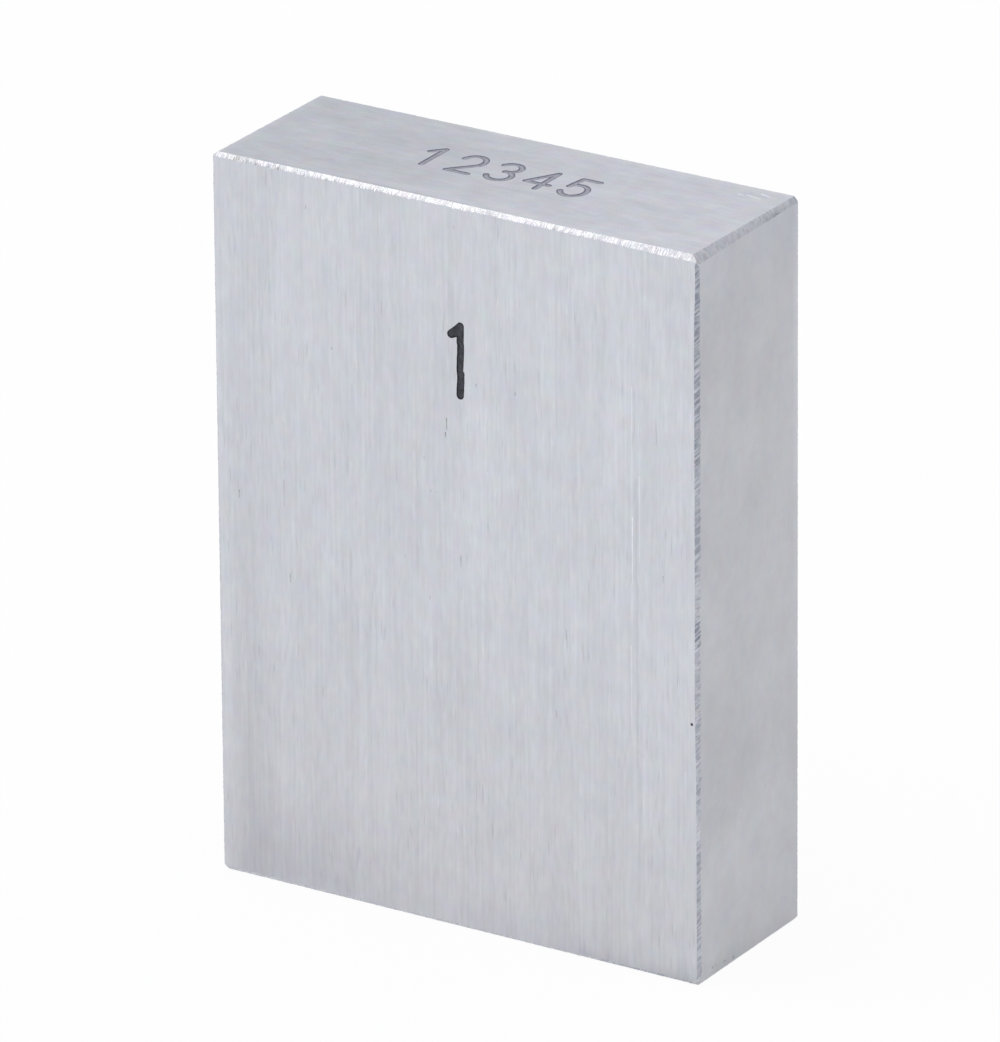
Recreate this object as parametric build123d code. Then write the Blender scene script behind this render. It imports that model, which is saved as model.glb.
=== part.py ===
from build123d import *
import os

# A rectangular gauge block of one inch nominal length, made from one piece of hardened steel.
# It stands on a long, narrow side of its section. X runs along the gauge length, from the left
# measuring face to the right one. Y runs through the thin side of the section, from the front
# side face, which carries the size, to the back one. Z runs up the wide side of the section.
# The origin is the centre of the face that the block stands on. Lengths are in millimetres.

INCH = 25.4
NOMINAL_INCHES = 1.0
NOMINAL_LENGTH = NOMINAL_INCHES * INCH  # between the two lapped measuring faces
SECTION_WIDTH = 35.0  # wide side of a measuring face
SECTION_DEPTH = 8.85  # narrow side of a measuring face, made 0.05 to 0.2 under 9

# The twelve edges are broken by hand on a stone, so each one is a flat bevel at 45 degrees that
# tapers. Its leg is how far it reaches along either face. The two legs of an edge are those at
# its two ends, in the order of rising X, Y or Z.
EDGE_LEGS = {
    ("front", "top"): (0.16, 0.24),
    ("back", "top"): (0.38, 0.16),
    ("front", "bottom"): (0.22, 0.20),
    ("back", "bottom"): (0.22, 0.18),
    ("left", "top"): (0.22, 0.36),
    ("right", "top"): (0.38, 0.24),
    ("left", "bottom"): (0.20, 0.16),
    ("right", "bottom"): (0.12, 0.24),
    ("front", "left"): (0.16, 0.08),
    ("front", "right"): (0.14, 0.21),
    ("back", "left"): (0.20, 0.24),
    ("back", "right"): (0.26, 0.28),
}

# A corner gets one more touch on the stone where it would still be sharp. Its small facet lies
# square to the corner's diagonal, and its plane meets each of the three edges at this distance
# from the sharp corner. At the other two the three bevels meet in a point and need no touch.
CORNER_SETBACKS = {
    ("front", "left", "top"): 0.38,
    ("front", "left", "bottom"): 0.40,
    ("front", "right", "bottom"): 0.36,
    ("back", "right", "top"): 0.44,
    ("back", "right", "bottom"): 0.52,
    ("back", "left", "bottom"): 0.42,
}

# Each face: its outward normal, and how far it lies along that normal from the block's middle.
FACES = {
    "left": (Vector(-1, 0, 0), NOMINAL_LENGTH / 2),
    "right": (Vector(1, 0, 0), NOMINAL_LENGTH / 2),
    "front": (Vector(0, -1, 0), SECTION_DEPTH / 2),
    "back": (Vector(0, 1, 0), SECTION_DEPTH / 2),
    "bottom": (Vector(0, 0, -1), SECTION_WIDTH / 2),
    "top": (Vector(0, 0, 1), SECTION_WIDTH / 2),
}
MIDDLE = Vector(0, 0, SECTION_WIDTH / 2)


def meeting_point(names):
    """The point where the named faces meet, opposite the block's middle in the other directions."""
    point = MIDDLE
    for name in names:
        normal, reach = FACES[name]
        point = point + normal * reach
    return point


def cut_by_plane(block, point, normal):
    """The block without what lies beyond the plane through this point."""
    return split(block, bisect_by=Plane(origin=point, z_dir=normal), keep=Keep.BOTTOM)


def stone_edge(block, names, legs):
    """Break the edge between two faces with a bevel that tapers from the first leg to the second."""
    (first, _), (second, _) = (FACES[name] for name in names)
    along = first.cross(second)
    along = Vector(abs(along.X), abs(along.Y), abs(along.Z))
    length = along.dot(Vector(NOMINAL_LENGTH, SECTION_DEPTH, SECTION_WIDTH))
    low_leg, high_leg = legs
    taper = (high_leg - low_leg) / length
    middle_of_bevel = meeting_point(names) - first * ((low_leg + high_leg) / 2)
    return cut_by_plane(block, middle_of_bevel, first + second + along * taper)


def stone_corner(block, names, setback):
    """Touch the corner between three faces with a small facet that is square to its diagonal."""
    normals = [FACES[name][0] for name in names]
    start = meeting_point(names) - normals[0] * setback
    return cut_by_plane(block, start, normals[0] + normals[1] + normals[2])


def gauge_block():
    """The whole block: the ground and lapped bar, its twelve stoned edges and its touched corners."""
    block = Pos(MIDDLE) * Box(NOMINAL_LENGTH, SECTION_DEPTH, SECTION_WIDTH)
    for names, legs in EDGE_LEGS.items():
        block = stone_edge(block, names, legs)
    for names, setback in CORNER_SETBACKS.items():
        block = stone_corner(block, names, setback)
    return block


os.makedirs("parts", exist_ok=True)
export_step(gauge_block(), "parts/gauge_block.step")
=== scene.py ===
"""The looks of a one-inch rectangular gauge block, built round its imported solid.

The block stands on z = 0 with its gauge length along X, its marked side face at -Y and the wide
side of its section along Z. Shapes are worked out in millimetres and reach the mesh in metres.
"""

import math

import bmesh
import bpy
import numpy as np
from mathutils import Matrix, Vector, noise
from mathutils.geometry import delaunay_2d_cdt


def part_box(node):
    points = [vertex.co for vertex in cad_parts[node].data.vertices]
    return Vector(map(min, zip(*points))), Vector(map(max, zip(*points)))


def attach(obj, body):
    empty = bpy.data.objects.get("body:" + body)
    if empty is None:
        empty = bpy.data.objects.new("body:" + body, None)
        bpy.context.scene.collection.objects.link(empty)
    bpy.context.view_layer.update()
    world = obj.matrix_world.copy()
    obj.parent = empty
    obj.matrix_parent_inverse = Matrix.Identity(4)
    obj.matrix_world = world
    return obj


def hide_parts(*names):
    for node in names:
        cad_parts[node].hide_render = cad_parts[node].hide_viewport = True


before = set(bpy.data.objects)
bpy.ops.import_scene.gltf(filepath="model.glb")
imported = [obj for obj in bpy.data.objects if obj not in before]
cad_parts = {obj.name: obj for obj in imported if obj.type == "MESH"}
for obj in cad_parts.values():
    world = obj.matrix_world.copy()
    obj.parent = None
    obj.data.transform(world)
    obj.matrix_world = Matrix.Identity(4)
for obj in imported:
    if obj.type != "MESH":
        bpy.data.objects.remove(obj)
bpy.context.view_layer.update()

MM = 0.001
NODE = "gauge_block"
LOW, HIGH = (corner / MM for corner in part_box(NODE))
HEIGHT = (HIGH - LOW).z

# Camera, as the photograph was taken: a long lens from the right, a little above.
IMAGE_HEIGHT_PX = 1042
FOCAL_PX = 14713.3
SENSOR_MM = 36.0
CAMERA_AZIMUTH = 32.2814  # degrees, from the front to the right
CAMERA_ELEVATION = 22.2675  # degrees
CAMERA_ROLL = -0.410  # degrees
CAMERA_DISTANCE = 661.28  # mm
AIM = Vector((-0.444, 0.048, 18.178))  # mm, the point at the picture's centre

# Sampling of the mesh, in mm.
RIM_STEP = 0.06
PATH_STEP = 0.05
PANEL_STEP = 0.5
PANEL_MARGIN = 0.5
BEVEL_ROWS = 2
NARROW_BEVEL = 0.12  # a bevel thinner than this has no rows of points
SAME_CORNER = 0.001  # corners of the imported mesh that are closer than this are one

SAME_FACET = math.radians(2)  # triangles that turn less than this are one facet
SHARP_FOLD = math.radians(14)  # an edge whose faces turn more than this looks sharp
LEAN = 0.4  # a facet leans towards a main face where their normals' product is above this

# The main faces, by name, with their outward normals.
SIDES = {
    "left": Vector((-1, 0, 0)),
    "right": Vector((1, 0, 0)),
    "front": Vector((0, -1, 0)),
    "back": Vector((0, 1, 0)),
    "bottom": Vector((0, 0, -1)),
    "top": Vector((0, 0, 1)),
}

# How ragged a stoned edge's outline is, in mm, on the face named first, along the bevel towards
# the other, at places along it. The front face's grinding marks run out into its top edge, and the
# stone's slanting marks leave teeth down the right face's front edge.
RAGGEDNESS = {
    ("front", "top"): [
        (-12.7, 0.03), (-11.5, 0.09), (-7, 0.08), (-3, 0.05), (4, 0.025), (12.7, 0.015),
    ],
    ("top", "front"): [(0, 0.012)],
    ("front", "right"): [(0, 0.008)],
    ("right", "front"): [
        (0, 0.10), (8, 0.10), (10, 0.16), (18, 0.16), (20, 0.10), (25, 0.07), (35, 0.09),
    ],
    ("top", "right"): [(0, 0.016)],
    ("right", "top"): [(0, 0.03)],
}
USUAL_RAGGEDNESS = [(0, 0.03)]
LEAST_RAGGEDNESS = [(0, 0.003)]  # between two stoned facets
# The noise in an outline: the share, the waves per mm and the step in the seed of each layer.
RAGGED_LAYERS = [(0.5, 1.1, 0), (0.6, 3.7, 20), (1.0, 8.3, 40)]
EASE_LENGTH = 0.3  # mm from a corner over which an outline takes its shape
MOST_DRAWN_BACK = 0.6  # the share of a bevel's leg by which its outline may draw back
SEED_STEP = 3.3  # in the noise, from one outline to the next

# Where such an outline lies off the solid's straight one: places along X, Y or Z, each with how
# much further the bevel reaches into the face named first there.
RIM_SHIFTS = {
    ("front", "top"): [
        (-12, 0.04), (-10, 0.03), (-8, 0.03), (-5, 0.01), (-2, -0.02), (4, -0.03), (8, -0.03),
        (10.5, 0.02), (12, 0.0),
    ],
    ("top", "front"): [(-12, -0.01), (-5, 0), (7, 0), (10, 0.03), (12, 0.06)],
    ("front", "right"): [
        (2, -0.07), (6, -0.07), (10, -0.06), (14, 0), (18, -0.02), (22, -0.03), (30, -0.03),
        (32, -0.05), (33.5, -0.1),
    ],
    ("right", "front"): [
        (0, 0.18), (2, 0.10), (6, 0.08), (9, 0.05), (18, 0.05), (20, 0.06), (26, 0.04), (34, 0.01),
    ],
    ("right", "top"): [(-3.7, 0), (-1, -0.05), (1, -0.04), (2.5, -0.03), (3.8, -0.05)],
}

# Corners of the facets that lie off the solid's, by the facets that meet there, and how far in mm.
# The stone left the right vertical edge just under the top, so that edge is almost whole there.
CORNER_PULLS = {
    (("front",), ("front", "right"), ("front", "top")): Vector((0.17, 0, 0.005)),
    (("front", "right"), ("right",), ("right", "top")): Vector((0, -0.18, 0.05)),
    (("front", "right"), ("front", "top"), ("right", "top")): Vector((0.145, -0.03, -0.03)),
    (("front", "top"), ("right", "top"), ("top",)): Vector((-0.02, 0.08, 0)),
    (("front",), ("front", "left", "top"), ("front", "top")): Vector((-0.12, 0, -0.01)),
    (("front",), ("front", "left"), ("front", "left", "top")): Vector((0.005, 0, 0.10)),
    (("front", "left"), ("front", "left", "top"), ("left",)): Vector((0, -0.01, 0.06)),
    (("front", "left", "top"), ("left",), ("left", "top")): Vector((0, -0.06, 0.02)),
}
PULL_REACH = 0.2  # mm along each edge from such a corner

# Height of a bevel's middle over its borders, as a share of its width.
CROWNS = {("front", "top"): 0.01}
USUAL_CROWN = 0.05
BEVEL_RIPPLE = 0.0025  # mm
RIPPLE_WAVES = (5, 2)  # in a mm along the bevel, and over its width

# Soft patches on the main faces: a few are stains, most are painted shade and painted light. The
# front is painted darker towards its bottom and lower left and lighter along its left edge and to
# its upper right; the top darker towards its left end and lighter towards its right end and along
# its front, back and left edges; the right darker along its foot and lighter low down and near its
# top front, with a painted highlight along its back edge. Each on a main face is a centre and a
# reach, along X (or Y) and up Z (or Y), and the share of red, green and blue that it takes away; a
# negative share paints light.
STAINS_AND_PAINTED_SHADE = {
    "front": [
        # lighter along the left edge
        ((-12.45, 16.0), (0.22, 30.0), (-0.065, -0.065, -0.065)),
        ((-11.0, 7.0), (0.75, 18.0), (0.085, 0.090, 0.090)),
        ((-8.5, 14.0), (3.5, 11.0), (0.022, 0.024, 0.024)),
        # painted shade: darker at the lower left
        ((-8.5, 1.2), (4.0, 2.6), (0.082, 0.082, 0.058)),
        ((-9.9, 1.7), (0.9, 2.4), (0.045, 0.050, 0.050)),
        ((-8.7, 20.0), (0.6, 5.0), (0.015, 0.015, 0.015)),
        ((-1.5, 24.5), (0.8, 2.5), (0.030, 0.035, 0.045)),
        ((0.3, 12.5), (0.7, 3.5), (0.045, 0.050, 0.055)),
        # painted shade: darker towards the bottom
        ((0.0, 0.0), (30.0, 10.0), (0.048, 0.069, 0.086)),
        ((0.0, 0.0), (30.0, 1.1), (0.045, 0.040, 0.030)),
        ((9.5, 0.3), (4.0, 1.4), (0.060, 0.055, 0.050)),
        ((12.4, 0.3), (0.5, 0.7), (0.070, 0.065, 0.060)),
        ((11.6, 0.15), (1.2, 0.2), (0.080, 0.065, 0.080)),
        ((8.5, 0.15), (4.0, 0.18), (0.070, 0.060, 0.060)),
        ((10.3, 3.0), (0.8, 3.5), (0.040, 0.040, 0.040)),
        ((2.5, 1.0), (3.0, 0.8), (0.030, 0.030, 0.010)),
        ((6.7, 0.3), (0.35, 0.35), (0.10, 0.10, 0.04)),
        # painted light: lighter to the upper right
        ((5.0, 22.0), (5.0, 7.0), (-0.012, -0.012, -0.012)),
        ((9.0, 30.0), (4.0, 5.0), (-0.020, -0.022, -0.020)),
    ],
    "top": [
        # darker towards the left end
        ((-12.7, 0.0), (10.0, 30.0), (0.126, 0.116, 0.118)),
        ((-3.0, -1.0), (7.0, 9.0), (0.056, 0.054, 0.057)),
        # painted light: lighter towards the right end and along the front, back and left edges
        ((11.8, -1.0), (2.0, 6.0), (-0.018, -0.016, -0.013)),
        ((1.0, -3.9), (7.0, 0.6), (-0.040, -0.040, -0.040)),
        ((0.0, 4.35), (30.0, 0.3), (-0.090, -0.085, -0.070)),
        ((-12.5, 0.0), (0.3, 30.0), (-0.080, -0.080, -0.080)),
    ],
    "right": [
        ((3.8, 2.0), (2.5, 3.5), (0.060, 0.060, 0.055)),
        ((-2.4, 0.3), (2.4, 0.5), (0.085, 0.075, 0.085)),
        ((0.5, 0.25), (4.5, 0.3), (0.035, 0.035, 0.035)),
        ((3.0, 0.0), (4.5, 0.9), (0.030, 0.030, 0.030)),
        # painted light: lighter low down
        ((-4.0, 4.5), (3.0, 3.6), (-0.080, -0.080, -0.080)),
        ((0.0, 5.0), (9.0, 5.0), (-0.040, -0.040, -0.040)),
        ((0.0, 8.5), (9.0, 3.0), (0.015, 0.015, 0.015)),
        ((-2.5, 19.5), (2.0, 2.5), (-0.015, -0.015, -0.015)),
        # painted light: bluish and lighter near the top front
        ((-3.5, 34.0), (3.0, 1.6), (-0.050, -0.060, -0.080)),
        ((3.0, 34.2), (3.0, 1.4), (0.060, 0.040, 0.010)),
        # painted highlight along the back edge
        ((4.35, 27.0), (0.32, 12.0), (-0.20, -0.20, -0.22)),
    ],
    "back": [
        ((8.0, 4.0), (5.0, 6.0), (0.06, 0.06, 0.05)),
        ((-10.8, 18.0), (1.0, 12.0), (0.035, 0.035, 0.03)),
    ],
    "left": [((-3.0, 30.0), (2.5, 6.0), (0.04, 0.04, 0.03))],
    "bottom": [((5.0, 0.0), (6.0, 3.0), (0.05, 0.05, 0.04))],
}

# How hard the stone bit a bevel between two sides, partly painted shade: the right vertical
# edge is painted darker all along, for the darker surroundings that it mirrors, and the front top
# edge's highlight is painted dimmer at its left end and along its front side. Places along it, each
# with the strength of the dark marks at the first side and at the second.
BITES_AND_PAINTED_SHADE = {
    # painted shade: darker all along, for the darker surroundings this edge mirrors
    ("front", "right"): [
        (0, 0.37, 0.37), (1.5, 0.41, 0.41), (2.2, 0.51, 0.46), (6.8, 0.55, 0.46), (7.1, 0.10, 0.10),
        (7.9, 0.10, 0.10), (8.3, 0.28, 0.30), (9.0, 0.32, 0.35), (9.5, 0.51, 0.48), (10.3, 0.28, 0.25),
        (11.5, 0.51, 0.45), (12.5, 0.37, 0.32), (16.3, 0.37, 0.37), (16.7, 0.65, 0.65),
        (17.4, 0.65, 0.65), (17.8, 0.32, 0.28), (18.5, 0.18, 0.14), (19.5, 0.37, 0.28),
        (20.5, 0.51, 0.46), (22.5, 0.63, 0.55), (23.2, 0.39, 0.37), (24.5, 0.42, 0.39),
        (25.3, 0.63, 0.55), (33.5, 0.68, 0.63), (34.5, 0.60, 0.51),
    ],
    # painted shade: the highlight dimmer at the left end and along the front side
    ("front", "top"): [
        (-12.7, 0.2, 0.35), (-12.1, 0.20, 0.28), (-11.9, 0.16, 0.22), (-10.0, 0.18, 0.22),
        (-8.5, 0.26, 0.20), (-6.5, 0.34, 0.02), (-4.5, 0.30, 0.0), (-3.5, 0.14, 0.0), (0, 0.18, 0.0),
        (3, 0.30, 0.0), (6, 0.42, 0.04), (8, 0.4, 0.14), (12.3, 0.3, 0.25), (12.6, 0.0, 0.0),
    ],
    ("right", "top"): [
        (-4.4, 0.0, 0.0), (1.0, 0.05, 0.05), (1.6, 0.35, 0.05), (2.4, 0.5, 0.1), (2.9, 0.25, 0.0),
        (3.4, 0.05, 0.1), (4.3, 0.35, 0.35),
    ],
    ("bottom", "front"): [
        (-12.7, 0.15, 0.1), (6, 0.2, 0.2), (9.5, 0.45, 0.5), (12.3, 0.5, 0.6), (12.6, 0.1, 0.1),
    ],
    ("back", "left"): [(0, 0.5, 0.3), (12, 0.3, 0.1), (20, 0.8, 0.3), (35, 0.6, 0.3)],
}
USUAL_BITE = [(0, 0.15, 0.1)]

# How hard the stone bit the small facet at a corner.
CORNER_BITES = {("back", "right", "top"): 0.45}
USUAL_CORNER_BITE = 0.15

# The share of red, green and blue that a bevel's steel keeps.
STONE_TINTS = {("front", "top"): (1.0, 0.98, 0.935)}
USUAL_TINT = (1.0, 1.0, 1.0)

# The direction of the stone's marks on a bevel, in degrees from straight across it.
STONE_TURNS = {("front", "right"): -38, ("front", "top"): 0, ("right", "top"): 25}
USUAL_TURN = 30
CORNER_TURN = 20

# The direction of the grain on a main face, in degrees from upright. On top it runs along X.
GRAIN_TURNS = {"top": 90, "bottom": 90}
GRAIN_STEP = Vector((41.0, 67.0))  # mm in the noise from one facet to the next

# The materials, in the order of the mesh's slots.
GROUND_SIDE, GROUND_END, LAPPED, STONED, ETCHED, ETCHED_EDGE, INK, INK_EDGE = range(8)
SIDE_MATERIAL = {
    "left": LAPPED,
    "right": LAPPED,
    "front": GROUND_SIDE,
    "back": GROUND_SIDE,
    "bottom": GROUND_END,
    "top": GROUND_END,
}

# Kinds of grooves: how wide their walls are and how deep they go, in mm, and what floor and walls
# wear.
FIGURE_GROOVE = (0.03, 0.05, INK, INK_EDGE)
NUMBER_GROOVE = (0.07, 0.02, ETCHED, ETCHED_EDGE)
SIDE_SCRATCH = (0.02, 0.004, GROUND_SIDE, GROUND_SIDE)
TOP_SCRATCH = (0.02, 0.001, GROUND_END, GROUND_END)
FILLED_PIT = (0.03, 0.03, INK, ETCHED_EDGE)
LAPPED_PIT = (0.03, 0.006, LAPPED, LAPPED)
WALL_TAKEN = 0.5  # the walls' share of the light that a groove's floor takes away

# The plain number on the top face, in mm: where its first digit's near left corner lies along X and
# Y, from digit to digit, a digit's width and height, and the pen's width.
NUMBER = "12345"
NUMBER_CORNER = (-4.67, -1.07)
DIGIT_PITCH = 1.92
DIGIT_SIZE = (1.50, 2.40)
PEN_WIDTH = 0.31

# The size figure's stem: places below the top edge, its middle along X there and its half width.
STEM = [
    (5.74, 0.375, 0.185), (6.3, 0.360, 0.190), (6.55, 0.352, 0.190), (6.64, 0.378, 0.186),
    (7.05, 0.372, 0.183), (7.25, 0.358, 0.190), (7.5, 0.346, 0.188), (7.85, 0.330, 0.178),
    (7.95, 0.338, 0.188), (8.02, 0.361, 0.214), (8.08, 0.371, 0.196), (8.25, 0.374, 0.190),
    (8.42, 0.372, 0.200), (8.6, 0.353, 0.202), (8.85, 0.343, 0.200), (9.06, 0.336, 0.194),
]
FLAG = [(5.76, 0.37, 0.19), (5.98, 0.10, 0.17), (6.21, -0.13, 0.20)]
FLAG_FOOT = [(6.21, -0.13, 0.20), (6.12, 0.1, 0.19), (6.03, 0.37, 0.19)]

# Marks on the front face: place along X, below the top edge, length, half width, and the share of
# the light that the mark takes away; a negative share paints a light streak, a painted glint. The
# last ones make up one long scratch: a darker middle with painted highlights along both sides.
FRONT_MARKS = [
    (-0.40, 10.3, 0.55, 0.040, 0.45), (-0.46, 11.0, 0.20, 0.040, 0.50), (-1.35, 19.1, 0.14, 0.040, 0.30),
    (0.30, 16.8, 0.55, 0.034, 0.30), (-8.82, 19.6, 0.40, 0.032, 0.35), (5.83, 19.2, 0.45, 0.036, 0.30),
    (-7.12, 24.8, 0.50, 0.028, 0.15), (-7.75, 1.65, 0.12, 0.036, 0.35), (0.05, 1.05, 0.15, 0.030, 0.25),
    (1.18, 8.35, 0.12, 0.040, 0.35), (3.23, 8.35, 0.12, 0.040, 0.35), (-6.45, 8.15, 0.10, 0.034, 0.30),
    (5.30, 23.2, 0.35, 0.028, 0.25), (5.20, 28.8, 0.60, 0.028, 0.14), (-9.07, 6.9, 1.00, 0.035, 0.12),
    (-9.07, 12.3, 1.30, 0.028, 0.14), (-9.07, 14.2, 0.60, 0.030, 0.20), (-9.09, 15.1, 1.30, 0.030, 0.26),
    (-11.5, 16.1, 0.35, 0.036, 0.40), (-11.3, 13.0, 0.80, 0.030, 0.12), (-1.05, 22.6, 1.30, 0.028, 0.15),
    (10.98, 19.3, 0.60, 0.035, 0.10), (10.9, 15.5, 0.30, 0.032, 0.30), (-1.25, 13.95, 0.05, 0.035, 0.28),
    (-0.95, 13.93, 0.05, 0.035, 0.30), (-2.65, 17.35, 0.10, 0.034, 0.25), (-1.6, 12.4, 0.15, 0.060, 0.12),
    (0.3, 18.3, 0.60, 0.034, 0.12), (-5.2, 21.0, 1.00, 0.030, 0.08), (2.9, 26.0, 1.20, 0.028, 0.09),
    # painted glints: light streaks
    (1.60, 10.3, 0.50, 0.040, -0.10), (1.75, 12.4, 0.45, 0.036, -0.10), (-4.80, 1.7, 1.2, 0.030, -0.07),
    (-2.60, 1.4, 1.6, 0.030, -0.08), (-0.98, 4.1, 1.5, 0.030, -0.08), (-6.30, 5.2, 1.3, 0.028, -0.06),
    (12.05, 24.7, 1.8, 0.030, -0.10),
    # the long scratch, with painted highlights along both sides of its darker middle
    (9.29, 6.8, 6.2, 0.028, -0.18), (9.31, 13.0, 3.2, 0.034, -0.32), (9.28, 16.2, 3.0, 0.030, -0.14),
    (9.24, 19.2, 4.0, 0.040, -0.14), (9.44, 7.0, 4.2, 0.060, 0.09), (9.49, 11.2, 5.0, 0.100, 0.07),
    (9.53, 16.2, 4.3, 0.110, 0.065), (9.55, 20.5, 4.5, 0.110, 0.085), (9.62, 25.0, 5.0, 0.100, 0.06),
    (9.69, 11.0, 4.2, 0.035, -0.14), (9.87, 24.5, 4.0, 0.040, -0.08),
]
MARK_LEAN = 0.02  # mm sideways over a mark's length
MARK_TAPER = 0.7  # a mark's width at its end, as a share of that at its start
UNEVEN_MARK = 0.3  # how much its width varies
BLACK_PIT = (12.38, 22.3, 0.01, 0.07)  # along X, below the top edge, length and half width

# Lines on the top face: from, to, half width, and the share of the light taken away; the first
# three, with a negative share, are painted glints.
TOP_MARKS = [
    ((10.21, 3.19), (10.50, 3.17), 0.050, -0.45), ((10.60, 3.27), (11.35, 3.14), 0.050, -0.40),
    ((11.09, 3.70), (11.63, 3.56), 0.050, -0.40), ((10.49, 3.66), (11.66, 3.36), 0.030, 0.14),
    ((10.00, 3.50), (10.90, 3.42), 0.030, 0.08), ((-10.20, -4.13), (-6.60, -4.12), 0.050, 0.10),
    ((-6.55, -4.12), (0.60, -4.10), 0.055, 0.14),
]
TOP_MARK_TAPER = 0.8

# Pits in the right face's foot: along Y, up Z and half width.
RIGHT_PITS = [
    (-1.44, 0.34, 0.07), (-2.25, 0.43, 0.06), (-2.1, 0.41, 0.05), (-2.95, 0.52, 0.05),
    (-3.2, 0.5, 0.05),
]
RIGHT_PIT_LENGTH = 0.03
RIGHT_PIT_TAKEN = 0.3  # the share of the light


def smooth_noise(*place):
    """Smooth noise from about -1 to 1 at this place."""
    return noise.noise(Vector((*place, 0, 0, 0)[:3]))


def arc(centre, radii, start, end, step=8):
    """Points of an elliptical arc, with its angles in degrees."""
    count = max(2, math.ceil(abs(end - start) / step))
    points = []
    for i in range(count + 1):
        angle = math.radians(start + (end - start) * i / count)
        points.append((centre[0] + radii[0] * math.cos(angle), centre[1] + radii[1] * math.sin(angle)))
    return points


# Pen strokes of the plain numerals, in a box one wide and one high.
NUMERALS = {
    "1": [[(0.14, 0.74), (0.56, 1.0)], [(0.56, 1.0), (0.56, 0.0)]],
    "2": [arc((0.5, 0.69), (0.46, 0.31), 168, -28) + [(0.03, 0.0)], [(0.03, 0.0), (0.98, 0.0)]],
    "3": [arc((0.47, 0.76), (0.42, 0.24), 158, -90), arc((0.47, 0.27), (0.49, 0.27), 90, -160)],
    "4": [[(0.72, 1.0), (0.0, 0.3)], [(0.0, 0.3), (1.0, 0.3)], [(0.72, 1.0), (0.72, 0.0)]],
    "5": [[(0.92, 1.0), (0.2, 1.0)], [(0.2, 1.0), (0.08, 0.5)], arc((0.47, 0.33), (0.5, 0.33), 140, -155)],
}


def unevenness(x, y):
    """Noise in a groove's width at this place, coarse and fine."""
    return smooth_noise(x * 5, y * 5, 7) + smooth_noise(x * 13, y * 13, 3)


class Stroke:
    """A groove along a path on a panel: its kind, how uneven it is and the light that it takes away."""

    def __init__(self, path, half_widths, kind, uneven=0.0, taken=0.0):
        self.path, widths = resampled(path, half_widths)
        self.wall, self.depth, self.floor, self.walls = kind
        self.taken = taken
        self.half_widths = [
            width * (1 + uneven * unevenness(x, y)) for (x, y), width in zip(self.path, widths)
        ]


def resampled(path, widths, step=PATH_STEP):
    """The path and its widths at points no further apart than the step."""
    points, sizes = [path[0]], [widths[0]]
    for (x0, y0), (x1, y1), w0, w1 in zip(path, path[1:], widths, widths[1:]):
        count = max(1, math.ceil(math.dist((x0, y0), (x1, y1)) / step))
        for i in range(1, count + 1):
            share = i / count
            points.append((x0 + (x1 - x0) * share, y0 + (y1 - y0) * share))
            sizes.append(w0 + (w1 - w0) * share)
    return points, sizes


def ribbon(path, half_widths, cap_steps=8):
    """The outline of a band with round ends along this path."""
    tangents = []
    for i in range(len(path)):
        before, after = path[max(i - 1, 0)], path[min(i + 1, len(path) - 1)]
        angle = math.atan2(after[1] - before[1], after[0] - before[0])
        tangents.append(angle)

    def edge(i, turn):
        angle = tangents[i] + turn
        return path[i][0] + half_widths[i] * math.cos(angle), path[i][1] + half_widths[i] * math.sin(angle)

    quarter = math.pi / 2
    last = len(path) - 1
    outline = [edge(i, -quarter) for i in range(last + 1)]
    outline += [edge(last, -quarter + math.pi * k / cap_steps) for k in range(1, cap_steps)]
    outline += [edge(i, quarter) for i in range(last, -1, -1)]
    outline += [edge(0, quarter + math.pi * k / cap_steps) for k in range(1, cap_steps)]
    return outline


def stroke_depth(stroke, points):
    """How deep the stroke's groove is at each of these points."""
    depth = np.zeros(len(points))
    path = np.array(stroke.path)
    widths = np.array(stroke.half_widths)
    for a, b, wa, wb in zip(path, path[1:], widths, widths[1:]):
        run = b - a
        share = np.clip((points - a) @ run / max(run @ run, 1e-12), 0, 1)
        distance = np.linalg.norm(points - (a + share[:, None] * run), axis=1)
        inside = (wa + (wb - wa) * share - distance) / stroke.wall
        depth = np.maximum(depth, np.clip(inside, 0, 1) * stroke.depth)
    return depth


def number_strokes():
    """The plain number etched in the top face, upright when read from the front."""
    width, height = (size - PEN_WIDTH for size in DIGIT_SIZE)
    left, foot = (corner + PEN_WIDTH / 2 for corner in NUMBER_CORNER)
    strokes = []
    for place, digit in enumerate(NUMBER):
        for path in NUMERALS[digit]:
            moved = [(left + place * DIGIT_PITCH + x * width, foot + y * height) for x, y in path]
            widths = [PEN_WIDTH / 2] * len(moved)
            strokes.append(Stroke(moved, widths, NUMBER_GROOVE, uneven=0.05))
    return strokes


def size_strokes():
    """The figure for one inch on the front face: a stem, a flag and the flag's filled foot."""
    strokes = []
    for line in (STEM, FLAG, FLAG_FOOT):
        path = [(x, HEIGHT - below) for below, x, _ in line]
        widths = [half_width for _, _, half_width in line]
        strokes.append(Stroke(path, widths, FIGURE_GROOVE, uneven=0.04))
    return strokes


def front_strokes():
    """Everything cut into the front face: the size figure, short marks, a long scratch and a pit."""
    strokes = size_strokes()
    for x, below, length, half_width, taken in FRONT_MARKS:
        lean = MARK_LEAN * smooth_noise(x, below, 5)
        path = [(x, HEIGHT - below), (x + lean, HEIGHT - below - length)]
        widths = [half_width, half_width * MARK_TAPER]
        strokes.append(Stroke(path, widths, SIDE_SCRATCH, UNEVEN_MARK, taken))
    x, below, length, half_width = BLACK_PIT
    path = [(x, HEIGHT - below), (x, HEIGHT - below - length)]
    strokes.append(Stroke(path, [half_width, half_width], FILLED_PIT))
    return strokes


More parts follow.
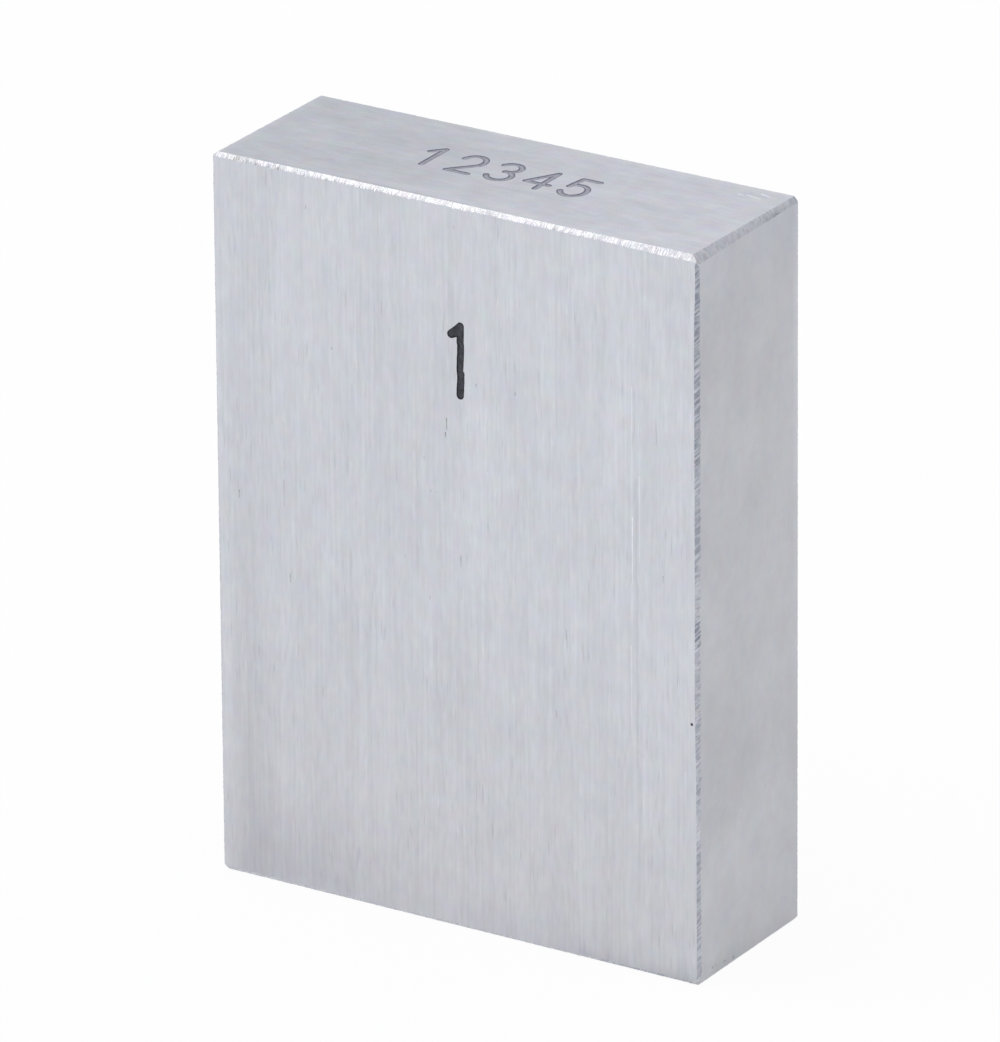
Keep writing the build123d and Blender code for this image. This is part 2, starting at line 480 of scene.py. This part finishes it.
def right_strokes():
    """Small pits along the right face's foot."""
    strokes = []
    for y, z, half_width in RIGHT_PITS:
        path = [(y, z), (y + RIGHT_PIT_LENGTH, z)]
        widths = [half_width, half_width]
        strokes.append(Stroke(path, widths, LAPPED_PIT, UNEVEN_MARK, RIGHT_PIT_TAKEN))
    return strokes


def top_strokes():
    """Everything cut into the top face: the number and a few fine lines."""
    strokes = number_strokes()
    for start, end, half_width, taken in TOP_MARKS:
        widths = [half_width, half_width * TOP_MARK_TAPER]
        strokes.append(Stroke([start, end], widths, TOP_SCRATCH, UNEVEN_MARK, taken))
    return strokes


# What is cut into each main face.
STROKES = {"front": front_strokes, "right": right_strokes, "top": top_strokes}


def solid_facets():
    """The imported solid's flat facets, as a mesh with one face for each."""
    facets = bmesh.new()
    facets.from_mesh(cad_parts[NODE].data)
    bmesh.ops.scale(facets, vec=(1 / MM,) * 3, verts=facets.verts)
    bmesh.ops.remove_doubles(facets, verts=facets.verts, dist=SAME_CORNER)
    bmesh.ops.dissolve_limit(facets, angle_limit=SAME_FACET, verts=facets.verts, edges=facets.edges)
    facets.normal_update()
    return facets


def sides_of(facet):
    """The main faces that a facet leans towards: one for a face, two for a bevel, three for a corner."""
    return tuple(sorted(name for name, normal in SIDES.items() if facet.normal.dot(normal) > LEAN))


def bordered(edge):
    """The main face that an edge borders, with its own side and the side that its bevel leads to."""
    for facet in edge.link_faces:
        if len(sides_of(facet)) == 1:
            (own,) = sides_of(facet)
            others = {side for near in edge.link_faces for side in sides_of(near)} - {own}
            return facet, own, others.pop() if len(others) == 1 else None
    return None, None, None


def corner_pull(vert):
    """How far a corner of the facets lies off the solid's."""
    meeting = tuple(sorted(sides_of(facet) for facet in vert.link_faces))
    return CORNER_PULLS.get(meeting, Vector((0, 0, 0)))


def pull_along(edge, place, length):
    """How far the pulls on an edge's two corners move the point at this place along it."""
    first, second = (corner_pull(vert) for vert in edge.verts)
    if length < 2 * PULL_REACH:
        return first.lerp(second, place / length)
    near_first = smoothstep(1 - place / PULL_REACH)
    near_second = smoothstep(1 - (length - place) / PULL_REACH)
    return first * near_first + second * near_second


def main_axis(direction):
    """The axis, counted from 0, that a direction mostly follows."""
    return max(range(3), key=lambda i: abs(direction[i]))


def inward_from(facet, start, run):
    """The direction in a facet's plane from one of its edges towards its middle."""
    inward = facet.normal.cross(run).normalized()
    if inward.dot(facet.calc_center_median() - start) < 0:
        inward = -inward
    return inward


def roughness_at(place, seed):
    """The noise in an outline at this place along it."""
    return sum(share * smooth_noise(place * waves, seed + step) for share, waves, step in RAGGED_LAYERS)


def rim_points(edge, seed):
    """Points along an edge of the solid, ragged and shifted in the plane of the main face beside it."""
    start, end = (vert.co for vert in edge.verts)
    run = end - start
    count = max(1, round(run.length / RIM_STEP))
    facet, own, other = bordered(edge)
    ragged = RAGGEDNESS.get((own, other), USUAL_RAGGEDNESS if other else LEAST_RAGGEDNESS)
    ragged_places, amounts = zip(*ragged)
    shift_places, shifts = zip(*RIM_SHIFTS.get((own, other), [(0, 0)]))
    inward = inward_from(facet or edge.link_faces[0], start, run)
    axis = main_axis(run)
    points = []
    for i in range(count + 1):
        point = start.lerp(end, i / count)
        place = run.length * i / count
        ease = smoothstep(min(place, run.length - place) / EASE_LENGTH)
        shift = roughness_at(place, seed) * float(np.interp(point[axis], ragged_places, amounts))
        shift += float(np.interp(point[axis], shift_places, shifts))
        if other:
            shift = max(shift, -MOST_DRAWN_BACK * below_side(other, point))
        point = point + inward * (ease * shift)
        points.append(point + pull_along(edge, place, run.length))
    return points


def smoothstep(value):
    """The value held between 0 and 1, with soft ends."""
    value = min(1, max(0, value))
    return value * value * (3 - 2 * value)


def below_side(side, point):
    """How far a point lies inside the plane of a main face."""
    normal = SIDES[side]
    outermost = HIGH if sum(normal) > 0 else LOW
    return (outermost - point).dot(normal)


def local_axes(facet):
    """Two axes in a facet's plane that make a right-handed set with its normal."""
    sides = sides_of(facet)
    if sides in (("top",), ("bottom",)):
        across = Vector((1, 0, 0))
    elif len(sides) == 1:
        across = Vector((0, 0, 1)).cross(facet.normal)
    else:
        longest = max(facet.edges, key=lambda edge: edge.calc_length())
        across = longest.verts[1].co - longest.verts[0].co
        if sum(across) < 0:
            across = -across
    across = (across - facet.normal * across.dot(facet.normal)).normalized()
    return across, facet.normal.cross(across)


def bite_and_shade_at(sides, point):
    """How hard the stone bit the bevel between two sides at this point, with painted shade on some bevels.
    """
    (axis,) = {0, 1, 2} - {main_axis(SIDES[side]) for side in sides}
    places, firsts, seconds = zip(*BITES_AND_PAINTED_SHADE.get(sides, USUAL_BITE))
    depths = [max(below_side(side, point), 0) for side in sides]
    share = math.sqrt(depths[0] / max(sum(depths), 1e-6))
    first, second = (float(np.interp(point[axis], places, values)) for values in (firsts, seconds))
    return first + (second - first) * share


def stain_and_shade_left(side, point):
    """What a main face's stains and painted shade and light leave of red, green and blue here."""
    u = point.y if side in ("left", "right") else point.x
    v = point.y if side in ("top", "bottom") else point.z
    left = np.ones(3)
    for (centre_u, centre_v), (reach_u, reach_v), taken in STAINS_AND_PAINTED_SHADE.get(side, []):
        fall = ((u - centre_u) / reach_u) ** 2 + ((v - centre_v) / reach_v) ** 2
        left -= np.array(taken) * math.exp(-fall)
    return left


def shade(facet, point):
    """What a facet keeps of red, green and blue here, and how hard the stone bit, each with painted shade.
    """
    sides = sides_of(facet)
    if len(sides) == 3:
        return (*USUAL_TINT, CORNER_BITES.get(sides, USUAL_CORNER_BITE))
    if len(sides) == 2:
        return (*STONE_TINTS.get(sides, USUAL_TINT), bite_and_shade_at(sides, point))
    return (*stain_and_shade_left(sides[0], point), 0)


class Sheet:
    """A facet's own plane, with two axes in it. A main face's is measured from the block's origin."""

    def __init__(self, facet):
        self.normal = facet.normal
        self.across, self.up = local_axes(facet)
        self.origin = facet.calc_center_median() if len(sides_of(facet)) > 1 else Vector((0, 0, 0))
        self.level = (facet.verts[0].co - self.origin).dot(self.normal)

    def flat(self, point):
        """The place in the plane that lies over this point."""
        step = point - self.origin
        return Vector((step.dot(self.across), step.dot(self.up)))

    def point(self, place, depth):
        """The point that lies this deep under this place."""
        return self.origin + self.across * place.x + self.up * place.y + self.normal * (self.level - depth)


def add_outlines(coords, outlines, strokes):
    """Adds to the places and outlines of a sheet those of each groove: its rim's, then its floor's."""
    for stroke in strokes:
        for narrower in (0, stroke.wall):
            outline = ribbon(stroke.path, [width - narrower for width in stroke.half_widths])
            outlines.append(list(range(len(coords), len(coords) + len(outline))))
            coords += [Vector(point) for point in outline]


def worn(owner, strokes, material):
    """What a triangle within these outlines wears, and the light that its groove takes away."""
    floors = [strokes[(k - 1) // 2] for k in owner if k > 0 and k % 2 == 0]
    walls = [strokes[(k - 1) // 2] for k in owner if k > 0 and k % 2 == 1]
    if floors:
        return floors[0].floor, floors[0].taken
    if walls:
        return walls[0].walls, walls[0].taken * WALL_TAKEN
    return material, 0.0


class BlockMesh:
    """Collects the block's triangles, facet by facet, over rims that neighbours share."""

    def __init__(self):
        self.solid = solid_facets()
        self.mesh = bmesh.new()
        self.grain = self.mesh.loops.layers.uv.new("grain")
        self.shade = self.mesh.loops.layers.float_color.new("shade")
        self.corners = {vert: self.mesh.verts.new(vert.co + corner_pull(vert)) for vert in self.solid.verts}
        self.rims = {}
        for index, edge in enumerate(self.solid.edges):
            points = rim_points(edge, index * SEED_STEP)
            inner = [self.mesh.verts.new(point) for point in points[1:-1]]
            self.rims[edge] = [self.corners[edge.verts[0]], *inner, self.corners[edge.verts[1]]]

    def border(self, facet):
        """The shared vertices round a facet, in order."""
        verts = []
        for loop in facet.loops:
            rim = self.rims[loop.edge]
            if rim[0] is not self.corners[loop.vert]:
                rim = rim[::-1]
            verts += rim[:-1]
        return verts

    def vertices(self, sheet, places, sources, border, inner, strokes):
        """A vertex for each place: the border's own, one at an inner point, or one within a groove."""
        flat_places = np.array([tuple(place) for place in places])
        depths = np.zeros(len(places))
        for stroke in strokes:
            depths = np.maximum(depths, stroke_depth(stroke, flat_places))
        given = len(border) + len(inner)
        verts = []
        for place, source, depth in zip(places, sources, depths):
            first = min(source, default=given)
            if first < len(border):
                verts.append(border[first])
            elif first < given:
                verts.append(self.mesh.verts.new(inner[first - len(border)]))
            else:
                verts.append(self.mesh.verts.new(sheet.point(place, depth)))
        return verts

    def add_face(self, facet, verts):
        """A new triangle that faces the same way as its facet."""
        face = self.mesh.faces.new(verts)
        face.normal_update()
        if face.normal.dot(facet.normal) < 0:
            face.normal_flip()
        face.smooth = True
        return face

    def fill(self, facet, inner, strokes, material, grain_turn, offset):
        """Triangulates a facet within its border, with extra points and grooves, and adds it."""
        sheet = Sheet(facet)
        border = self.border(facet)
        coords = [sheet.flat(vert.co) for vert in border] + [sheet.flat(point) for point in inner]
        outlines = [list(range(len(border)))]
        add_outlines(coords, outlines, strokes)
        found = delaunay_2d_cdt(coords, [], outlines, 1, 1e-5, True)
        places, triangles, sources, owners = found[0], found[2], found[3], found[5]
        verts = self.vertices(sheet, places, sources, border, inner, strokes)
        turn = Matrix.Rotation(math.radians(grain_turn), 2)
        for triangle, owner in zip(triangles, owners):
            if 0 not in owner:
                continue
            face = self.add_face(facet, [verts[i] for i in triangle])
            face.material_index, taken = worn(owner, strokes, material)
            for loop in face.loops:
                loop[self.grain].uv = turn @ sheet.flat(loop.vert.co) + offset
                *left, bite_and_shade = shade(facet, loop.vert.co)
                loop[self.shade] = (*(share * (1 - taken) for share in left), bite_and_shade)


def grid_points(facet):
    """Points spread over a main face, clear of its border."""
    across, up = local_axes(facet)
    corners = [(vert.co.dot(across), vert.co.dot(up)) for vert in facet.verts]
    lows = [min(values) + PANEL_MARGIN for values in zip(*corners)]
    highs = [max(values) - PANEL_MARGIN for values in zip(*corners)]
    counts = [max(1, round((high - low) / PANEL_STEP)) for low, high in zip(lows, highs)]
    plane = facet.verts[0].co.dot(facet.normal)
    points = []
    for i in range(counts[0] + 1):
        for j in range(counts[1] + 1):
            x = lows[0] + (highs[0] - lows[0]) * i / counts[0]
            y = lows[1] + (highs[1] - lows[1]) * j / counts[1]
            points.append(across * x + up * y + facet.normal * plane)
    return points


def long_rims(block, facet, along):
    """A bevel's two long outlines, each in rising order along it."""
    rims = []
    for edge in facet.edges:
        if bordered(edge)[0]:
            rim = [vert.co for vert in block.rims[edge]]
            if (rim[-1] - rim[0]).dot(along) < 0:
                rim.reverse()
            rims.append(rim)
    return sorted(rims, key=len)[-2:]


def bevel_points(block, facet, seed):
    """Rows of points between a bevel's two long outlines, a little crowned and rippled by the stone."""
    along, _ = local_axes(facet)
    first, second = long_rims(block, facet, along)
    start = max(first[0].dot(along), second[0].dot(along))
    end = min(first[-1].dot(along), second[-1].dot(along))
    count = int((end - start) / RIM_STEP)
    height = CROWNS.get(sides_of(facet), USUAL_CROWN)
    waves_along, waves_over = RIPPLE_WAVES
    points = []
    for i in range(1, count):
        place = start + (end - start) * i / count
        low, high = (point_at(rim, along, place) for rim in (first, second))
        if (high - low).length < NARROW_BEVEL:
            continue
        for row in range(1, BEVEL_ROWS + 1):
            share = row / (BEVEL_ROWS + 1)
            crown = height * (high - low).length * 4 * share * (1 - share)
            ripple = BEVEL_RIPPLE * smooth_noise(place * waves_along, share * waves_over, seed)
            points.append(low.lerp(high, share) + facet.normal * (crown + ripple))
    return points


def point_at(rim, along, place):
    """The point of a rim that lies this far along an axis."""
    for a, b in zip(rim, rim[1:]):
        low, high = a.dot(along), b.dot(along)
        if low <= place <= high and high > low:
            return a.lerp(b, (place - low) / (high - low))
    return rim[-1].copy()


def show_folds(mesh):
    """Shades a mesh smooth, but sharp along the edges where it folds."""
    mesh.normal_update()
    for edge in mesh.edges:
        faces = edge.link_faces
        folded = len(faces) == 2 and faces[0].normal.angle(faces[1].normal, 0) > SHARP_FOLD
        edge.smooth = not folded


def block_object():
    """The whole block as one closed mesh."""
    block = BlockMesh()
    for index, facet in enumerate(block.solid.faces):
        sides = sides_of(facet)
        offset = GRAIN_STEP * index
        if len(sides) == 1:
            (side,) = sides
            strokes = STROKES.get(side, list)()
            turn = GRAIN_TURNS.get(side, 0)
            block.fill(facet, grid_points(facet), strokes, SIDE_MATERIAL[side], turn, offset)
        elif len(sides) == 2:
            turn = STONE_TURNS.get(sides, USUAL_TURN)
            block.fill(facet, bevel_points(block, facet, index), [], STONED, turn, offset)
        else:
            block.fill(facet, [], [], STONED, CORNER_TURN, offset)
    show_folds(block.mesh)
    bmesh.ops.scale(block.mesh, vec=(MM,) * 3, verts=block.mesh.verts)
    data = bpy.data.meshes.new("steel_block")
    block.mesh.to_mesh(data)
    piece = bpy.data.objects.new("steel_block", data)
    bpy.context.scene.collection.objects.link(piece)
    return piece


# Colours of the steel by its finish, and of the stone's dark marks, which also paint shade on some bevels.
SIDE_STEEL = (0.656, 0.673, 0.723)
END_STEEL = (0.632, 0.640, 0.694)
# darker partly as painted shade: the right face looks darker for how light falls on it
LAPPED_SHADED_STEEL = (0.500, 0.504, 0.537)
STONED_STEEL = (0.622, 0.629, 0.68)
BITTEN_AND_SHADED = (0.17, 0.20, 0.26)

LAYER_STEP = 7.3  # in the noise, from one layer of streaks to the next
LAYER_SLANT = 1.7  # how much further it goes along the grain than across

# The floor, and the light level of the surroundings.
FLOOR_GREY = 0.9
FLOOR_SEEN = 0.945  # the share of plain white in the floor that the camera sees
FLOOR_MIRRORED = 0.7  # and in the floor that the steel mirrors
FLOOR_SIZE = 5.0  # m
FLOOR_DROP = 0.00001  # m under the block, so that the two never coincide
AROUND_COLOUR = (0.97, 0.98, 1, 1)
AROUND_LEFT = 0.92
AROUND_RIGHT = 0.68
AROUND_REACH = 0.6  # how far to either side the level changes, in the direction's X


def add(tree, kind, inputs=None, **settings):
    """A new shader node with these settings, and with values or other nodes' outputs in its sockets."""
    made = tree.nodes.new(kind)
    for name, value in settings.items():
        setattr(made, name, value)
    for socket, value in (inputs or {}).items():
        if isinstance(value, bpy.types.NodeSocket):
            tree.links.new(value, made.inputs[socket])
        else:
            made.inputs[socket].default_value = value
    return made


def math_of(tree, operation, first, second):
    """The result of an operation on two values."""
    return add(tree, "ShaderNodeMath", {0: first, 1: second}, operation=operation).outputs[0]


def streaks(tree, width, length, low, high, detail=2.0, roughness=0.6, place=0.0, spread=(0.3, 0.7)):
    """Noise drawn out along the grain, in cells this wide and long in mm, ranged from low to high."""
    coords = add(tree, "ShaderNodeUVMap", uv_map="grain").outputs[0]
    drawn = add(tree, "ShaderNodeMapping", {
        "Vector": coords,
        "Location": (place, place * LAYER_SLANT, place),
        "Scale": (1 / width, 1 / length, 1),
    })
    made = add(tree, "ShaderNodeTexNoise", {
        "Vector": drawn.outputs[0],
        "Scale": 1.0,
        "Detail": detail,
        "Roughness": roughness,
    }, noise_dimensions="2D")
    ranged = add(tree, "ShaderNodeMapRange", {
        "Value": made.outputs[0],
        "From Min": spread[0],
        "From Max": spread[1],
        "To Min": low,
        "To Max": high,
    })
    return ranged.outputs[0]


def total(tree, values):
    """The sum of these values."""
    result = values[0]
    for value in values[1:]:
        result = math_of(tree, "ADD", result, value)
    return result


def layered(tree, layers):
    """The sum of streak layers, each with its width, length, amount either way and further settings."""
    made = []
    for index, (width, length, amount, *further) in enumerate(layers):
        place = index * LAYER_STEP + width
        made.append(streaks(tree, width, length, -amount, amount, *further, place=place))
    return total(tree, made)


def mixed(tree, blend, factor, first, second):
    """Two colours mixed."""
    inputs = {0: factor, 6: first, 7: second}
    return add(tree, "ShaderNodeMix", inputs, data_type="RGBA", blend_type=blend).outputs[2]


def hues(tree, colour, amount, scale=1.0):
    """A colour whose red, green and blue each vary a little from place to place."""
    cells = {
        "Vector": add(tree, "ShaderNodeUVMap", uv_map="grain").outputs[0],
        "Scale": scale,
        "Detail": 3.0,
        "Roughness": 0.7,
    }
    made = add(tree, "ShaderNodeTexNoise", cells, noise_dimensions="2D").outputs["Color"]
    span = {0: made, 1: (amount,) * 3, 2: (1 - amount / 2,) * 3}
    varied = add(tree, "ShaderNodeVectorMath", span, operation="MULTIPLY_ADD").outputs[0]
    return mixed(tree, "MULTIPLY", 1.0, (*colour, 1), varied)


def marks(tree, width, length, start, end, place):
    """Separate short marks along the grain: 1 in a mark and 0 between them."""
    spread = (start, end)
    return streaks(tree, width, length, 0.0, 1.0, detail=1.0, roughness=0.5, place=place, spread=spread)


def metal(name, metallic=1.0, anisotropy=0.0):
    """A new material's node tree and its shader."""
    material = bpy.data.materials.new(name)
    material.use_nodes = True
    tree = material.node_tree
    shader = tree.nodes["Principled BSDF"]
    shader.inputs["Metallic"].default_value = metallic
    if anisotropy:
        shader.inputs["Anisotropic"].default_value = anisotropy
        tangent = add(tree, "ShaderNodeTangent", direction_type="UV_MAP", uv_map="grain")
        tree.links.new(tangent.outputs[0], shader.inputs["Tangent"])
    return material, tree, shader


def relief(tree, shader, height):
    """Gives a shader small bumps of this height in mm."""
    bump = add(tree, "ShaderNodeBump", {"Height": height, "Distance": MM, "Strength": 1.0})
    tree.links.new(bump.outputs[0], shader.inputs["Normal"])


def steel(name, colour, roughness, tone_layers, rough_layers, bump_layers, hue, dashes=0.0,
          anisotropy=0.0):
    """Bare steel with layers of streaks in tone, roughness and relief, and dark and light dashes."""
    material, tree, shader = metal(name, anisotropy=anisotropy)
    tone = math_of(tree, "ADD", 1.0, layered(tree, tone_layers))
    if dashes:
        crowded = streaks(tree, 1.6, 5.0, 0.15, 1.0, roughness=0.5, place=31.0, spread=(0.42, 0.66))
        dark_marks = marks(tree, 0.10, 1.6, start=0.65, end=0.80, place=5.0)
        light_marks = marks(tree, 0.09, 1.2, start=0.66, end=0.82, place=17.0)
        dark = math_of(tree, "MULTIPLY", dark_marks, crowded)
        light = math_of(tree, "MULTIPLY", light_marks, crowded)
        tone = math_of(tree, "SUBTRACT", tone, math_of(tree, "MULTIPLY", dark, dashes))
        tone = math_of(tree, "ADD", tone, math_of(tree, "MULTIPLY", light, dashes * 0.6))
    stained_and_shaded = mixed(tree, "MULTIPLY", 1.0, hues(tree, colour, hue), attribute(tree, "Color"))
    tree.links.new(mixed(tree, "MULTIPLY", 1.0, stained_and_shaded, tone), shader.inputs["Base Color"])
    rough = math_of(tree, "ADD", roughness, layered(tree, rough_layers))
    tree.links.new(rough, shader.inputs["Roughness"])
    relief(tree, shader, layered(tree, bump_layers))
    return material


def attribute(tree, output):
    """The mesh's shade: its colour, with stains and painted light and shade, or in its alpha the stone's
    bite and painted shade.
    """
    return add(tree, "ShaderNodeAttribute", attribute_name="shade").outputs[output]


def stoned_steel(name):
    """A stoned bevel: bright, with slanting marks, dark where the stone bit hard and where shade is
    painted.
    """
    material, tree, shader = metal(name)
    cuts = streaks(tree, 0.08, 0.9, 0.22, 1.22, place=4.0, spread=(0.36, 0.58))
    dark = math_of(tree, "MULTIPLY", attribute(tree, "Alpha"), cuts)
    stone = mixed(tree, "MIX", dark, hues(tree, STONED_STEEL, 0.16, 1.6), (*BITTEN_AND_SHADED, 1))
    tone = math_of(tree, "ADD", 1.0, layered(tree, [(0.06, 0.4, 0.14), (0.3, 0.3, 0.06)]))
    tinted = mixed(tree, "MULTIPLY", 1.0, stone, attribute(tree, "Color"))
    tree.links.new(mixed(tree, "MULTIPLY", 1.0, tinted, tone), shader.inputs["Base Color"])
    rough = math_of(tree, "ADD", 0.36, layered(tree, [(0.1, 0.6, 0.08)]))
    tree.links.new(rough, shader.inputs["Roughness"])
    relief(tree, shader, layered(tree, [(0.06, 0.5, 0.004)]))
    return material


def etched(name, colour, roughness, speckle, metallic, hue=0.1):
    """The dull floor or wall of a mark, mottled all over."""
    material, tree, shader = metal(name, metallic)
    shader.inputs["Roughness"].default_value = roughness
    mottle = layered(tree, [(0.06, 0.06, speckle, 3.0), (0.3, 0.3, speckle, 1.0)])
    tone = math_of(tree, "ADD", 1.0, mottle)
    varied = hues(tree, colour, hue, 3.0)
    tree.links.new(mixed(tree, "MULTIPLY", 1.0, varied, tone), shader.inputs["Base Color"])
    relief(tree, shader, layered(tree, [(0.05, 0.05, 0.003)]))
    return material


def block_materials():
    """The block's materials, in the order of its slots."""
    side = steel(
        "ground_side", SIDE_STEEL, 0.34,
        tone_layers=[
            (2.4, 60.0, 0.034, 3.8, 0.95), (0.15, 14.0, 0.019, 0.5), (0.18, 1.0, 0.021, 0.5),
            (0.6, 1.6, 0.012, 1.0), (3.5, 5.0, 0.020, 3.0),
        ],
        rough_layers=[(0.3, 6.0, 0.05, 2.0)],
        bump_layers=[(0.14, 6.0, 0.0005, 1.0)],
        hue=0.12,
        dashes=0.15,
        anisotropy=0.4,
    )
    end = steel(
        "ground_end", END_STEEL, 0.3,
        tone_layers=[
            (2.0, 10.0, 0.040, 3.2, 0.85), (0.2, 0.9, 0.014, 0.5), (0.7, 1.8, 0.024, 1.0),
            (3.0, 4.0, 0.03, 3.0),
        ],
        rough_layers=[(0.3, 6.0, 0.05, 2.0)],
        bump_layers=[(0.14, 5.0, 0.0004, 1.0)],
        hue=0.20,
        dashes=0.05,
        anisotropy=0.4,
    )
    lapped = steel(
        "lapped_face", LAPPED_SHADED_STEEL, 0.2,
        tone_layers=[(1.8, 2.4, 0.033, 4.0, 0.8), (5.0, 8.0, 0.042, 1.0)],
        rough_layers=[(2.0, 2.4, 0.03, 2.0)],
        bump_layers=[(0.2, 0.25, 0.0002, 2.0)],
        hue=0.11,
    )
    return [
        side, end, lapped, stoned_steel("stoned_edge"),
        etched("etched_floor", (0.40, 0.405, 0.46), 0.5, 0.12, 0.9),
        etched("etched_wall", (0.20, 0.195, 0.26), 0.5, 0.10, 0.9),
        etched("black_fill", (0.028, 0.030, 0.040), 0.5, 0.5, 0.0, 0.5),
        etched("black_fill_edge", (0.020, 0.021, 0.042), 0.5, 0.3, 0.0, 0.7),
    ]


def stage_floor():
    """A wide, plain floor. The camera sees it nearly white, with the block's soft shadow."""
    bpy.ops.mesh.primitive_plane_add(size=FLOOR_SIZE, location=(0, 0, -FLOOR_DROP))
    floor = bpy.context.object
    floor.name = "floor"
    material = bpy.data.materials.new("white_floor")
    material.use_nodes = True
    tree = material.node_tree
    tree.nodes.clear()
    lit = add(tree, "ShaderNodeBsdfDiffuse", {"Color": (FLOOR_GREY, FLOOR_GREY, FLOOR_GREY, 1)})
    rays = add(tree, "ShaderNodeLightPath").outputs
    seen = math_of(tree, "MULTIPLY", rays["Is Camera Ray"], FLOOR_SEEN)
    mirrored = math_of(tree, "MULTIPLY", rays["Is Glossy Ray"], FLOOR_MIRRORED)
    white = add(tree, "ShaderNodeEmission", {"Color": (1, 1, 1, 1), "Strength": 1.0})
    share = math_of(tree, "ADD", seen, mirrored)
    both = add(tree, "ShaderNodeMixShader", {0: share, 1: lit.outputs[0], 2: white.outputs[0]})
    out = add(tree, "ShaderNodeOutputMaterial")
    tree.links.new(both.outputs[0], out.inputs[0])
    floor.data.materials.append(material)


def studio_world():
    """Pale, even surroundings, a little brighter on the left, and white where the camera sees them."""
    world = bpy.data.worlds.new("studio")
    bpy.context.scene.world = world
    world.use_nodes = True
    tree = world.node_tree
    tree.nodes.clear()
    direction = add(tree, "ShaderNodeTexCoord").outputs["Generated"]
    sideways = add(tree, "ShaderNodeSeparateXYZ", {0: direction}).outputs[0]
    level = add(tree, "ShaderNodeMapRange", {
        "Value": sideways,
        "From Min": -AROUND_REACH,
        "From Max": AROUND_REACH,
        "To Min": AROUND_LEFT,
        "To Max": AROUND_RIGHT,
    })
    around = add(tree, "ShaderNodeBackground", {"Color": AROUND_COLOUR, "Strength": level.outputs[0]})
    seen = add(tree, "ShaderNodeBackground", {"Color": (1, 1, 1, 1), "Strength": 1.0})
    ray = add(tree, "ShaderNodeLightPath").outputs["Is Camera Ray"]
    both = add(tree, "ShaderNodeMixShader", {0: ray, 1: around.outputs[0], 2: seen.outputs[0]})
    out = add(tree, "ShaderNodeOutputWorld")
    tree.links.new(both.outputs[0], out.inputs[0])


def softbox(name, direction, distance, size, radiance):
    """A square soft lamp that faces the block from this direction, this bright over its face."""
    lamp = bpy.data.lights.new(name, "AREA")
    lamp.shape = "SQUARE"
    lamp.size = size
    lamp.energy = radiance * math.pi * size * size
    holder = bpy.data.objects.new(name, lamp)
    centre = (LOW + HIGH) / 2 * MM
    away = Vector(direction).normalized()
    holder.location = centre + away * distance
    holder.rotation_euler = away.to_track_quat("Z", "Y").to_euler()
    bpy.context.scene.collection.objects.link(holder)


def camera():
    """The camera at the photograph's place."""
    data = bpy.data.cameras.new("camera")
    data.sensor_width = SENSOR_MM
    data.lens = FOCAL_PX * SENSOR_MM / IMAGE_HEIGHT_PX
    data.clip_start = 0.05
    data.clip_end = 50.0
    holder = bpy.data.objects.new("camera", data)
    azimuth, elevation = math.radians(CAMERA_AZIMUTH), math.radians(CAMERA_ELEVATION)
    back = Vector((
        math.sin(azimuth) * math.cos(elevation),
        -math.cos(azimuth) * math.cos(elevation),
        math.sin(elevation),
    ))
    holder.location = (AIM + back * CAMERA_DISTANCE) * MM
    upright = back.to_track_quat("Z", "Y")
    rolled = upright @ Matrix.Rotation(math.radians(CAMERA_ROLL), 3, "Z").to_quaternion()
    holder.rotation_euler = rolled.to_euler()
    bpy.context.scene.collection.objects.link(holder)
    bpy.context.scene.camera = holder


bpy.context.scene.view_settings.view_transform = "Standard"
camera()
studio_world()
stage_floor()
softbox("key_softbox", direction=(-0.494, -0.378, 0.783), distance=0.75, size=0.5, radiance=1.6)

piece = block_object()
for material in block_materials():
    piece.data.materials.append(material)
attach(piece, "root")
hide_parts(NODE)
